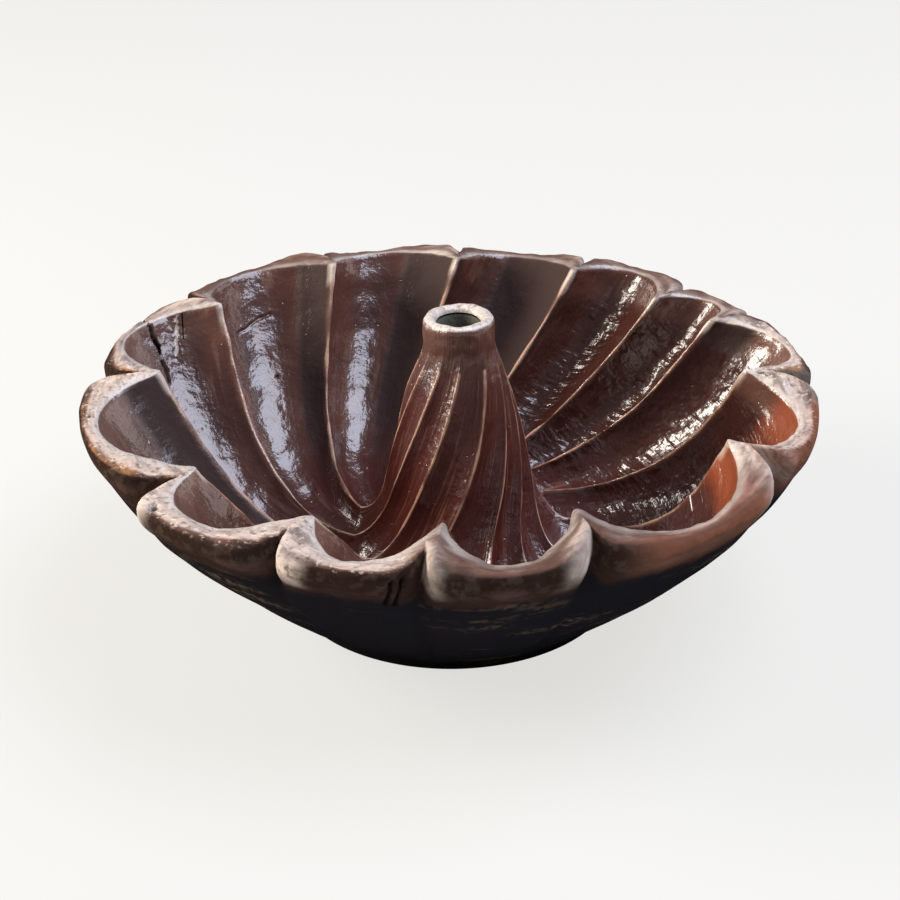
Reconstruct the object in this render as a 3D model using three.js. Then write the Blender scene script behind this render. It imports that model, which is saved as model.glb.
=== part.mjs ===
// An earthenware kugelhopf mould: a fluted bowl with a hollow chimney luted into its floor.
// Millimetres, +Z up. The base stands on z = 0, and the origin is under the middle of the whole mould.
import * as THREE from "three";

// Rib bearings at the rim, in degrees anticlockwise from +X. The mould is hand made, so they are not even.
const RIB_BEARINGS = [213, 245, 267, 291, 326, 359, 385, 402, 424, 450, 477, 508, 537];

// Bowl
const RIB_TIP_R = 107.5; // radius of the rib tips at the rim
const RIB_TIP_Z = 87.5; // height of the rib tips
const RIM_FLUTE = 19.5; // how far a lobe bellies out past the rib tips at the rim
const LIP_DROP = 6; // how far a lobe's lip lies below the rib tips
const LIP_WIDTH = 8; // thickness of the wall at the lip
const LIP_ROUND = 2.5; // height of the rounded top of the lip
const RIB_CURVE = 2.1; // power of the curve that a rib follows from the floor to the rim
const FLUTE_CURVE = 2.3; // power of the deeper curve between two ribs
const FLUTE_ROUND = 0.7; // roundness of a flute: lower is a squarer trough with sharper ribs
const GROOVE_FADE = 30; // how far the pinched groove under a rib tip runs down the outside
const GROOVE_CURVE = 1.5; // power of the curve by which the groove dies away
const OUTER_CURVE = 1.45; // power of the outside's flare from the foot to the lip
const RIM_LEAN = 3; // how far the lobes reach further towards -X than towards +X, as a shift of the rim

// Floor and foot
const VALLEY_Z = 24.5; // height of the rib crests where the floor meets the chimney
const FLOOR_FLUTE = 8; // depth of the flutes at the seam
const FOOT_HEIGHT = 5; // height of the foot ring
const FOOT_WIDTH = 12; // width of the foot ring at its sole
const RECESS_MARGIN = 4.5; // clear width between the luting coil and the foot ring

// Seam between the floor and the chimney
const SEAM_R = 41; // radius of the opening in the floor
const COIL_HALF_WIDTH = 5; // the luting coil reaches this far to each side of the seam
const COIL_HEIGHT = 3.5; // how far the luting coil hangs below the floor
const SLIP_GAP = 0.3; // layer of slip between two pieces that are luted together

// Chimney
const CHIMNEY_TOP_Z = 110.5; // height of the open top
const COLLAR_HEIGHT = 14; // height of the plain collar that the ridges die away into
const COLLAR_R = 13.1; // outside radius of the collar
const COLLAR_ROUND = 2; // rounding of the collar's top edge
const BORE_R = 7.5; // radius of the open bore
const CONE_FLARE_WIDTH = 4.7; // how far the foot of the cone flares out to the seam
const CONE_FLARE_HEIGHT = 14; // height of the flared foot
const CONE_FLUTE = 4.5; // depth of the flutes on the cone, at its foot
const FOOT_WALL = 13.5; // wall of the chimney at its foot

// Swirl
const SWIRL = 0.74; // turn of a rib across the bowl, in radians for each e-fold of radius
const CONE_TURN = THREE.MathUtils.degToRad(58); // turn of a ridge from the floor to the collar

// Facets
const LOBE_STEPS = [0, 0.06, 0.16, 0.32, 0.5, 0.68, 0.84, 0.94]; // places of the columns across a lobe
const BOWL_RINGS = 14;
const FLOOR_RINGS = 4;
const OUTER_RINGS = 9;
const CONE_RINGS = 12;
const BORE_RINGS = 7;
const RING_STEPS = 72;
const COIL_STEPS = 6;

// Sizes worked out from the ones above
const FLOOR_Z = FOOT_HEIGHT + SLIP_GAP; // underside of the floor
const COIL_R = SEAM_R + COIL_HALF_WIDTH;
const FOOT_INNER_R = COIL_R + RECESS_MARGIN;
const FOOT_R = FOOT_INNER_R + FOOT_WIDTH;
const LIP_R = RIB_TIP_R + RIM_FLUTE + LIP_WIDTH;
const LIP_Z = RIB_TIP_Z - LIP_DROP;
const SEAM_TURN = SWIRL * Math.log(RIB_TIP_R / SEAM_R);
const SPIGOT_R = SEAM_R - SLIP_GAP;
const CONE_FOOT_R = SPIGOT_R - CONE_FLARE_WIDTH;
const HOLLOW_R = SPIGOT_R - FOOT_WALL;
const RIDGE_TOP_Z = CHIMNEY_TOP_Z - COLLAR_HEIGHT;

const glazed = new THREE.MeshStandardMaterial({ color: 0x5c2f21, roughness: 0.25, metalness: 0 });
const sooted = new THREE.MeshStandardMaterial({ color: 0x2b2522, roughness: 0.8, metalness: 0 });

const { lerp, clamp } = THREE.MathUtils;

// A point at a radius, an angle and a height.
function polar(radius, angle, z) {
  return new THREE.Vector3(radius * Math.cos(angle), radius * Math.sin(angle), z);
}

// The columns round the mould: each has its bearing at the rim and how far it lies from a rib, 0 to 1.
function fluteColumns() {
  return RIB_BEARINGS.flatMap((bearing, rib) => {
    const next = rib + 1 < RIB_BEARINGS.length ? RIB_BEARINGS[rib + 1] : RIB_BEARINGS[0] + 360;
    return LOBE_STEPS.map((step) => ({
      bearing: THREE.MathUtils.degToRad(lerp(bearing, next, step)),
      trough: Math.pow(Math.sin(Math.PI * step), FLUTE_ROUND),
    }));
  });
}

// The wall leans over to one side as it rises. The rib crests stay true to the chimney.
function lean(point, share) {
  point.x -= RIM_LEAN * share * clamp((point.z - VALLEY_Z) / (RIB_TIP_Z - VALLEY_Z), 0, 1);
  return point;
}

// A closed body from rings of points that go down the inside of its section and up the outside.
function ringBody(name, rings, material) {
  const count = rings[0].length;
  const position = rings.flatMap((ring) => ring.flatMap((point) => point.toArray()));
  const index = [];
  rings.forEach((ring, i) => {
    const next = (i + 1) % rings.length;
    for (let j = 0; j < count; j += 1) {
      const k = (j + 1) % count;
      const [a, b, c, d] = [i * count + j, next * count + j, next * count + k, i * count + k];
      index.push(a, c, b, a, d, c);
    }
  });
  const geometry = new THREE.BufferGeometry();
  geometry.setAttribute("position", new THREE.Float32BufferAttribute(position, 3));
  geometry.setIndex(index);
  geometry.computeVertexNormals();
  const mesh = new THREE.Mesh(geometry, material);
  mesh.name = name;
  return mesh;
}

// Evenly spaced shares from 0 to 1, both ends included.
function shares(count) {
  return Array.from({ length: count }, (_, i) => i / (count - 1));
}

// The inside of the bowl at a share of its way from the seam to the rim.
function insidePoint(share, column) {
  const ribR = lerp(SEAM_R, RIB_TIP_R, share);
  const ribZ = lerp(VALLEY_Z, RIB_TIP_Z, Math.pow(share, RIB_CURVE));
  const fluteR = lerp(SEAM_R, RIB_TIP_R + RIM_FLUTE, share);
  const fluteZ = lerp(VALLEY_Z - FLOOR_FLUTE, LIP_Z, Math.pow(share, FLUTE_CURVE));
  const angle = column.bearing + SWIRL * Math.log(RIB_TIP_R / ribR);
  const radius = lerp(ribR, fluteR, column.trough);
  return lean(polar(radius, angle, lerp(ribZ, fluteZ, column.trough)), column.trough);
}

// The outside of the bowl at a share of its height: smooth below, pinched into grooves under the rib tips.
function outsidePoint(share, column) {
  const top = lerp(RIB_TIP_Z, LIP_Z, column.trough);
  const z = lerp(FLOOR_Z, top, share);
  const flare = 1 - Math.pow(1 - share, OUTER_CURVE);
  const pinch = Math.pow(clamp(1 - (top - z) / GROOVE_FADE, 0, 1), GROOVE_CURVE);
  const radius = lerp(FOOT_R, LIP_R, flare) - RIM_FLUTE * (1 - column.trough) * pinch;
  return lean(polar(radius, column.bearing, z), 1);
}

// The rounded top of the lip, midway across the wall.
function lipPoint(column) {
  const radius = RIB_TIP_R + RIM_FLUTE * column.trough + LIP_WIDTH / 2;
  const z = lerp(RIB_TIP_Z, LIP_Z, column.trough) + LIP_ROUND;
  return lean(polar(radius, column.bearing, z), column.trough);
}

function flutedBowl() {
  const columns = fluteColumns();
  const inside = shares(BOWL_RINGS).map((share) => columns.map((column) => insidePoint(1 - share, column)));
  const underside = shares(FLOOR_RINGS).map((share) => {
    const radius = lerp(SEAM_R, FOOT_R, share);
    return columns.map(({ bearing }) => polar(radius, bearing + SEAM_TURN * (1 - share), FLOOR_Z));
  });
  const outside = shares(OUTER_RINGS).map((share) => columns.map((column) => outsidePoint(share, column)));
  const lip = columns.map(lipPoint);
  return ringBody("fluted_bowl", [...inside, ...underside, ...outside.slice(1), lip], glazed);
}

// The outside of the chimney at a share of its way from the seam to the collar.
function conePoint(share, column) {
  const z = lerp(VALLEY_Z, RIDGE_TOP_Z, share);
  const flare = Math.pow(clamp(1 - (z - VALLEY_Z) / CONE_FLARE_HEIGHT, 0, 1), 2);
  const straight = lerp(CONE_FOOT_R, COLLAR_R, share);
  const depth = CONE_FLUTE * (1 - share) * (1 - flare);
  const radius = straight + CONE_FLARE_WIDTH * flare - depth * column.trough;
  const angle = column.bearing + SEAM_TURN + CONE_TURN * share;
  return polar(radius, angle, z - FLOOR_FLUTE * flare * column.trough);
}

function chimney() {
  const columns = fluteColumns();
  const round = (radius, z, turn) =>
    columns.map(({ bearing }) => polar(radius, bearing + SEAM_TURN + turn, z));
  const spigot = round(SPIGOT_R, FLOOR_Z, 0);
  const cone = shares(CONE_RINGS).map((share) => columns.map((column) => conePoint(share, column)));
  const collar = [
    round(COLLAR_R, CHIMNEY_TOP_Z - COLLAR_ROUND, CONE_TURN),
    round(COLLAR_R - COLLAR_ROUND, CHIMNEY_TOP_Z, CONE_TURN),
    round(BORE_R, CHIMNEY_TOP_Z, CONE_TURN),
  ];
  const hollow = shares(BORE_RINGS).map((share) =>
    round(lerp(BORE_R, HOLLOW_R, share), lerp(RIDGE_TOP_Z, FLOOR_Z, share), CONE_TURN * (1 - share)),
  );
  return ringBody("chimney", [spigot, ...cone, ...collar, ...hollow], glazed);
}

// A turned ring whose section is a list of radius and height pairs.
function turnedRing(name, section, material) {
  const turns = shares(RING_STEPS + 1).slice(0, -1);
  const rings = section.map(([radius, z]) => turns.map((share) => polar(radius, share * 2 * Math.PI, z)));
  return ringBody(name, rings, material);
}

// The coil is pressed flat against the floor and the chimney's foot, and round below.
function lutingCoil() {
  const top = FLOOR_Z - SLIP_GAP;
  const section = shares(COIL_STEPS + 1).map((share) => [
    SEAM_R - COIL_HALF_WIDTH * Math.cos(Math.PI * share),
    top - COIL_HEIGHT * Math.sin(Math.PI * share),
  ]);
  return turnedRing("luting_coil", section, sooted);
}

// The foot's outer face carries the bowl's outside down to the ground.
function footRing() {
  const section = [
    [FOOT_INNER_R, FOOT_HEIGHT],
    [FOOT_INNER_R, 0],
    [FOOT_R, 0],
    [FOOT_R, FOOT_HEIGHT],
  ];
  return turnedRing("foot_ring", section, sooted);
}

const mould = new THREE.Group();
mould.add(flutedBowl(), chimney(), lutingCoil(), footRing());

// The origin lies under the middle of the whole mould.
const middle = new THREE.Box3().setFromObject(mould).getCenter(new THREE.Vector3());
mould.position.set(-middle.x, -middle.y, 0);

export default mould;
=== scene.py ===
"""Earthenware kugelhopf mould: the looks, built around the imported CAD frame.

Sizes are in millimetres, and bearings in degrees seen from above, anticlockwise from the right-hand side.
The pieces are thrown as plain rings about the chimney's axis and then pressed into flutes, as the potter
did it.
"""

import logging
import math
from abc import ABC, abstractmethod
from dataclasses import dataclass
from enum import Enum
from functools import partial

import bmesh
import bpy
from mathutils import Matrix, Vector, noise


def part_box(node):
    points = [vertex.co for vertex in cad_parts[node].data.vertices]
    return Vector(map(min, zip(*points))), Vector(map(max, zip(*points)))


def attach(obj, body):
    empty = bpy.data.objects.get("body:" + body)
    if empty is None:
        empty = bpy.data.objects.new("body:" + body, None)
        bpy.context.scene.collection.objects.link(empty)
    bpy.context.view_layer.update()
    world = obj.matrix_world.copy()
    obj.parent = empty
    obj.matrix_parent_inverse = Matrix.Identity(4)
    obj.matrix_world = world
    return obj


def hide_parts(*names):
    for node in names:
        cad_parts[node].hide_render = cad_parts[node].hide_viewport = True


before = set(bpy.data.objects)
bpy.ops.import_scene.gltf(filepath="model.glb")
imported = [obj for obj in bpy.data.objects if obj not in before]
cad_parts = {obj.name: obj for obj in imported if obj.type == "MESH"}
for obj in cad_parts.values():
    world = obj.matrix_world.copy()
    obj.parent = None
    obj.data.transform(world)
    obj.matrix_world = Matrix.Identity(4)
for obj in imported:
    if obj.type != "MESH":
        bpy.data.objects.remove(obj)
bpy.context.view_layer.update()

Pair = tuple[float, float]
Mesh = bmesh.types.BMesh
Tree = bpy.types.NodeTree
Socket = bpy.types.NodeSocket

MM = 0.001  # metres in a millimetre
FLOW_RADIUS = 80.0  # radius at which the traces measure a place round the flutes
SAME_STATION = 1e-6  # stations closer than this are the same
MERGE_DISTANCE = 1e-7  # metres
log = logging.getLogger("kugelhopf_mould")


def mix(start: float, end: float, share: float) -> float:
    """Goes from start to end as share goes from 0 to 1."""
    return start + (end - start) * share


def clamp(value: float) -> float:
    """Keeps a value between 0 and 1."""
    return min(max(value, 0.0), 1.0)


def ease(low: float, high: float, value: float) -> float:
    """Rises smoothly from 0 at low to 1 at high."""
    share = clamp((value - low) / (high - low))
    return share * share * (3 - 2 * share)


def span(ends: Pair, edges: Pair, value: float) -> float:
    """Share inside a span between two ends, each with its own softness."""
    (low, high), (near, far) = ends, edges
    return ease(low - near, low + near, value) * (1 - ease(high - far, high + far, value))


@dataclass(frozen=True)
class Lumps:
    """Soft unevenness of hand-worked clay: its height and width in millimetres, and a seed of its own."""

    height: float
    size: float
    seed: float

    def at(self, point: Vector) -> float:
        """How far the clay stands out at a place in millimetres."""
        shift = Vector((self.seed, 2 * self.seed, 3 * self.seed))
        return self.height * noise.noise(point / self.size + shift)


WALL_LUMPS = (Lumps(0.5, 26.0, 1.7), Lumps(0.2, 9.0, 4.1))
LIP_SWELL = Lumps(0.8, 11.0, 7.7)
LIP_LUMPS = Lumps(0.5, 4.5, 3.9)
ROLL_LUMPS = Lumps(0.35, 8.0, 2.3)
RAGGED_EDGE = Lumps(1.0, 1.5, 3.3)
FINGER_RIPPLES = ((Lumps(0.5, 16.0, 5.3), 2.0), (Lumps(0.2, 9.6, 8.9), 1.8))  # each with its flattening


class Zone(Enum):
    """Stretch of a thrown section."""

    INSIDE = 0
    LIP = 1
    OUTSIDE = 2
    UNDERSIDE = 3
    SEAM = 4


class Trace(Enum):
    """What the mesh tells the finishes about each point of the surface."""

    LIP = "lip"  # millimetres outwards from the inner edge of the lip, less than 0 inside
    CREST = "crest"  # 1 on a rib's crest, 0 in the middle of a flute; outside, the pale side of a groove, partly a painted highlight
    REACH = "reach"  # 0 at the floor seam, 1 at the rim
    THIN_GLAZE_AND_SUNLIT = "thin_glaze_and_sunlit"  # 1 where the glaze ran thin, and where sunlight is painted on the walls as orange
    SCAR = "scar"  # 1 in a crack or dent, -1 where the glaze broke away
    DENTS_AND_SHADE = "dents_and_shade"  # 1 where the flutes are dented by the fingers that pressed them, and painted darker as shade
    MATT_SHADE = "matt_shade"  # 1 where the glaze is matt and painted dark as shade
    RUB_AND_PAINTED_LIGHT = "rub_and_painted_light"  # how pale the lip of this lobe is, from rubbing hands and from painted light, from 0 to 1
    FLOW = "flow"  # place round and along the flutes, for brushed patterns


@dataclass(frozen=True)
class Rib:
    """One pinched rib of the bowl and the lobe that follows it.

    Args:
        bearing: bearing of its tip on the rim.
        reach: how far its tip stands out past the common tip radius.
        lift: how far its tip stands above the common tip height.
        drift: turn of its foot from the common swirl.
        groove: width of the groove outside it, as a share of half a lobe.
        slant: turn of that groove from the tip.
        pinch: depth of that groove, as a share of the flute's.
        groove_rub_and_highlight: how pale one side of the groove is, rubbed and partly a painted highlight,
            above 0 for the lobe that follows and below 0 for the one before.
        lobe_reach: how far the lobe's lip stands out past the common lip radius, on its inner side.
        lobe_wall: the same on its outer side.
        lobe_lift: how far the lobe's lip stands above the common lip height.
        lobe_power: roundness of the lobe at the rim, where a smaller one is flatter with tighter corners.
        rub_and_painted_light: how pale the lobe's lip is, from rubbing hands and from painted light, from 0
            to 1.
    """

    bearing: float
    reach: float
    lift: float
    drift: float
    groove: float
    slant: float
    pinch: float
    groove_rub_and_highlight: float
    lobe_reach: float
    lobe_wall: float
    lobe_lift: float
    lobe_power: float
    rub_and_painted_light: float


RIBS = (
    Rib(214.5, 1.5, -5.0, -4.5, 0.35, 1.4, 1.0, 0.5, 2.5, 4.0, 2.0, 0.6, 0.95),
    Rib(244.5, 2.5, -2.8, 0.0, 0.2, -0.9, 0.7, 1.0, 0.5, 0.5, 0.0, 0.6, 0.85),
    Rib(267.0, 1.0, -1.0, 0.0, 0.22, -2.0, 0.65, 0.6, 0.5, 0.5, -0.5, 0.6, 0.38),
    Rib(289.5, 2.5, 0.5, 1.0, 0.2, 0.1, 0.75, -0.62, 3.3, 1.0, 0.5, 0.6, 0.42),
    Rib(328.0, 0.0, 1.0, -3.5, 0.3, 0.2, 1.0, -0.7, -1.0, -1.5, 0.5, 0.6, 0.75),
    Rib(358.5, -4.2, 1.7, -0.7, 0.1, -0.6, 1.0, 0.5, 2.5, -2.5, 2.0, 0.6, 0.9),
    Rib(386.0, 0.3, -0.9, -1.8, 0.12, -0.6, 1.0, 0.5, -0.8, -4.0, 1.5, 0.6, 0.5),
    Rib(402.7, -1.0, -2.2, 0.4, 0.15, -0.6, 1.0, 0.5, 0.0, -3.0, 2.0, 0.6, 0.4),
    Rib(424.0, 0.2, 0.0, 0.5, 0.2, -0.6, 1.0, 0.5, 0.0, -3.5, 0.8, 0.35, 0.35),
    Rib(450.0, 0.3, 1.0, 0.4, 0.2, -0.6, 1.0, 0.5, 0.7, -3.5, 3.0, 0.3, 0.45),
    Rib(477.3, 1.5, 4.0, 1.2, 0.2, -0.6, 1.0, 0.5, 1.6, -3.5, 5.0, 0.4, 0.3),
    Rib(507.2, 2.2, 2.8, 2.0, 0.15, -0.6, 1.0, 0.5, 2.0, -4.0, 5.0, 0.5, 0.65),
    Rib(536.3, 3.0, -1.2, 0.1, 0.15, 0.4, 1.0, 0.6, 1.6, -0.5, 3.0, 0.6, 0.9),
)
LOBES = len(RIBS)


@dataclass(frozen=True)
class Flutes:
    """The thirteen swirling flutes, shared by the bowl and the chimney."""

    ribs: tuple[Rib, ...] = RIBS
    swirl: float = 0.74  # turn of a rib in radians for each e-fold of radius
    floor_power: float = 0.5  # roundness of the flutes at the floor
    crowding: float = 0.5  # how far the columns crowd towards the ribs
    sunlit_thin_glaze_lobes: Pair = (3.3, 4.74)  # lobes whose glaze ran thin, and whose walls are painted as lit by the sun
    sunlit_thin_glaze_edges: Pair = (0.3, 0.12)  # how softly they start and end
    sunlit_thin_glaze_rise: Pair = (0.65, 1.0)  # shares of the way out between which the thin glaze and the painted sunlight start
    dents_and_shade_lobes: Pair = (3.1, 7.9)  # lobes that are dented by fingers, and painted darker as shade
    dents_and_shade_edges: Pair = (0.3, 0.3)
    dents_and_shade_rise: Pair = (0.1, 0.3)  # shares of the way out between which the dents and the painted shade start
    dents_and_shade_fall: Pair = (0.88, 0.98)  # and end
    # where the glaze is matt and painted dark as shade: first and last phase, and how far up from the floor
    # it starts
    matt_shade_spans: tuple[tuple[float, float, float], ...] = (
        (5.7, 5.98, 0.55), (7.92, 8.55, 0.0), (8.94, 9.36, 0.0), (9.92, 10.22, 0.0), (12.0, 12.24, 0.35),
    )
    matt_shade_edges: Pair = (0.08, 0.08)
    matt_shade_rise: float = 0.1  # how softly the matt painted shade starts on the way up
    rub_turn: float = 0.75  # share of a lobe from which its lip turns to the next one's paleness

    def lobe(self, phase: float) -> tuple[Rib, Rib, float, float]:
        """Finds the lobe at a phase.

        Args:
            phase: place round the mould, where each whole number is a rib.

        Returns:
            The ribs on its two sides, the bearing between them and the share of the way across.
        """
        whole = math.floor(phase)
        share = phase - whole
        share -= self.crowding * math.sin(2 * math.pi * share) / (2 * math.pi)
        before = self.ribs[whole % LOBES]
        after = self.ribs[(whole + 1) % LOBES]
        end = after.bearing + (360 if after.bearing < before.bearing else 0)
        return before, after, mix(before.bearing, end, share), share

    def outer_lobe(self, bearing: float) -> tuple[Rib, Rib, float]:
        """Finds the lobe of the outside at a bearing.

        Args:
            bearing: bearing on the rim, in degrees.

        Returns:
            The ribs whose grooves bound it, and the share of the way across.
        """
        for before, after in zip(self.ribs, self.ribs[1:] + self.ribs[:1]):
            start = before.bearing + before.slant
            width = (after.bearing + after.slant - start) % 360
            turn = (bearing - start) % 360
            if turn <= width:
                break
        return before, after, turn / width

    def trough(self, share: float, rounding: float, power: float) -> float:
        """Depth across a lobe: 0 on the ribs and 1 in the middle.

        Args:
            share: share of the way across the lobe.
            rounding: how blunt the ribs are.
            power: below 1, a rounder flute.

        Returns:
            The depth, from 0 to 1.
        """
        rise = (math.sin(math.pi * share) ** 2 + rounding**2) ** (power / 2)
        foot = rounding**power
        top = (1 + rounding**2) ** (power / 2)
        return (rise - foot) / (top - foot)

    def crest(self, share: float, width: float) -> float:
        """Closeness to the nearer rib: 1 on it, 0 from that share of the lobe onwards."""
        return clamp(1 - min(share, 1 - share) / width)

    def thin_glaze_and_sunlit(self, phase: float, reach: float) -> float:
        """Share of thin orange glaze at a place inside the bowl, partly a painted pool of sunlight."""
        return span(self.sunlit_thin_glaze_lobes, self.sunlit_thin_glaze_edges, phase) * ease(*self.sunlit_thin_glaze_rise, reach)

    def dents_and_shade(self, phase: float, reach: float) -> float:
        """Share of finger dents, and of painted shade, at a place inside the bowl."""
        across = span(self.dents_and_shade_lobes, self.dents_and_shade_edges, phase)
        return across * ease(*self.dents_and_shade_rise, reach) * (1 - ease(*self.dents_and_shade_fall, reach))

    def matt_shade(self, phase: float, reach: float) -> float:
        """Share of matt glaze, painted dark as shade, at a place inside the bowl."""
        rise = self.matt_shade_rise
        return max(span((start, end), self.matt_shade_edges, phase) * ease(low - rise, low + rise, reach)
                   for start, end, low in self.matt_shade_spans)

    def rub_and_painted_light(self, phase: float) -> float:
        """How pale the lip is at a place, from rubbing hands and from painted light."""
        before, after, _, across = self.lobe(phase)
        return mix(before.rub_and_painted_light, after.rub_and_painted_light, ease(self.rub_turn, 1.0, across))

    def groove_rub_and_highlight(self, bearing: float) -> float:
        """Closeness to the pale side of a groove outside, rubbed and partly a painted highlight: the rib's
        value in the groove, 0 half a lobe away.
        """
        before, after, across = self.outer_lobe(bearing)
        return max(before.groove_rub_and_highlight * (1 - 2 * across), -after.groove_rub_and_highlight * (2 * across - 1), 0.0)


@dataclass(frozen=True)
class Spot:
    """A point on a section: its zone and its share of the way along that zone."""

    zone: Zone
    share: float

    @property
    def station(self) -> float:
        """The spot as one number, which the mesh carries while it is spun."""
        return 2 * self.zone.value + self.share

    @classmethod
    def read(cls, station: float) -> "Spot":
        """Takes a spot back from its number."""
        zone = Zone(int((station + 0.5) // 2))
        return cls(zone, clamp(station - 2 * zone.value))


def spread(zone: Zone, rings: int, power: float = 1.0) -> list[Spot]:
    """Lists spots all along a zone, crowded towards its end by a power below 1."""
    return [Spot(zone, (i / rings) ** power) for i in range(rings + 1)]


@dataclass(frozen=True)
class Mark:
    """A crack, crease, dimple or chip in the clay.

    Args:
        zone: zone of the section that it lies on.
        path: its points, each a phase round the mould and a share of the way along the zone.
        width: its width, in millimetres.
        depth: how deep it is cut, in millimetres.
        scar: what it shows the finishes, 1 for a dark crack and -1 for a pale break.
        ragged: how uneven its edge is, as a share of its width.
    """

    zone: Zone
    path: tuple[Pair, ...]
    width: float
    depth: float
    scar: float
    ragged: float = 0.3

    def gap(self, phase: float, share: float, scale: Pair) -> float:
        """Distance from the path, in millimetres.

        Args:
            phase: place round the mould.
            share: share of the way along the zone.
            scale: millimetres in a whole phase and in the whole zone.

        Returns:
            The distance to the nearest point of the path.
        """
        spot = Vector((phase * scale[0], share * scale[1]))
        points = [Vector((p * scale[0], s * scale[1])) for p, s in self.path]
        best = min((spot - point).length for point in points)
        for start, end in zip(points, points[1:]):
            run = end - start
            along = clamp((spot - start).dot(run) / run.length_squared)
            best = min(best, (spot - start - along * run).length)
        return best


MARKS = (
    # the long crack from the left rim down to a rib
    Mark(Zone.INSIDE, ((11.385, 1.0), (11.392, 0.975), (11.382, 0.952)), 2.0, 2.6, 1.0, 0.3),
    Mark(Zone.INSIDE, ((11.382, 0.952), (11.392, 0.92), (11.387, 0.9), (11.395, 0.872)), 1.6, 2.2, 1.0, 0.3),
    Mark(Zone.LIP, ((11.372, 0.7), (11.38, 0.3), (11.385, 0.0)), 1.8, 1.8, 1.0, 0.5),
    # the glaze that broke away beside it, with a hair crack
    Mark(Zone.INSIDE, ((11.262, 0.995), (11.272, 0.975), (11.288, 0.952), (11.318, 0.92)),
         2.8, 0.5, -1.0, 1.4),
    Mark(Zone.INSIDE, ((11.237, 0.995), (11.252, 0.965), (11.262, 0.945)), 0.9, 0.8, 0.6, 0.6),
    # the edge of a flake on the next flute, and a pit below it
    Mark(Zone.INSIDE, ((10.54, 0.887), (10.49, 0.889), (10.42, 0.902), (10.37, 0.905)), 1.8, 0.7, 0.3, 0.5),
    Mark(Zone.INSIDE, ((10.36, 0.745),), 2.4, 0.9, 0.5, 0.4),
    # a dimple and scratches on the lip at the left
    Mark(Zone.LIP, ((0.337, 0.25), (0.35, 0.28)), 5.0, 1.5, 0.4, 0.4),
    Mark(Zone.LIP, ((12.38, 0.06), (12.4, 0.4)), 0.9, 0.6, 0.5, 0.5),
    Mark(Zone.LIP, ((12.42, 0.05), (12.43, 0.3)), 0.7, 0.5, 0.5, 0.5),
    # the broken lip at the right
    Mark(Zone.LIP, ((4.77, 0.02), (4.85, 0.05), (4.93, 0.1), (5.0, 0.2)), 4.0, 0.9, -0.9, 1.5),
    # the double crease under the lip at the front
    Mark(Zone.OUTSIDE, ((1.692, 0.0), (1.69, 0.05), (1.672, 0.1), (1.645, 0.16)), 2.6, 1.0, 0.45, 0.3),
    Mark(Zone.OUTSIDE, ((1.745, 0.0), (1.742, 0.05), (1.722, 0.1), (1.695, 0.16)), 2.6, 1.1, 0.45, 0.3),
)


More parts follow.
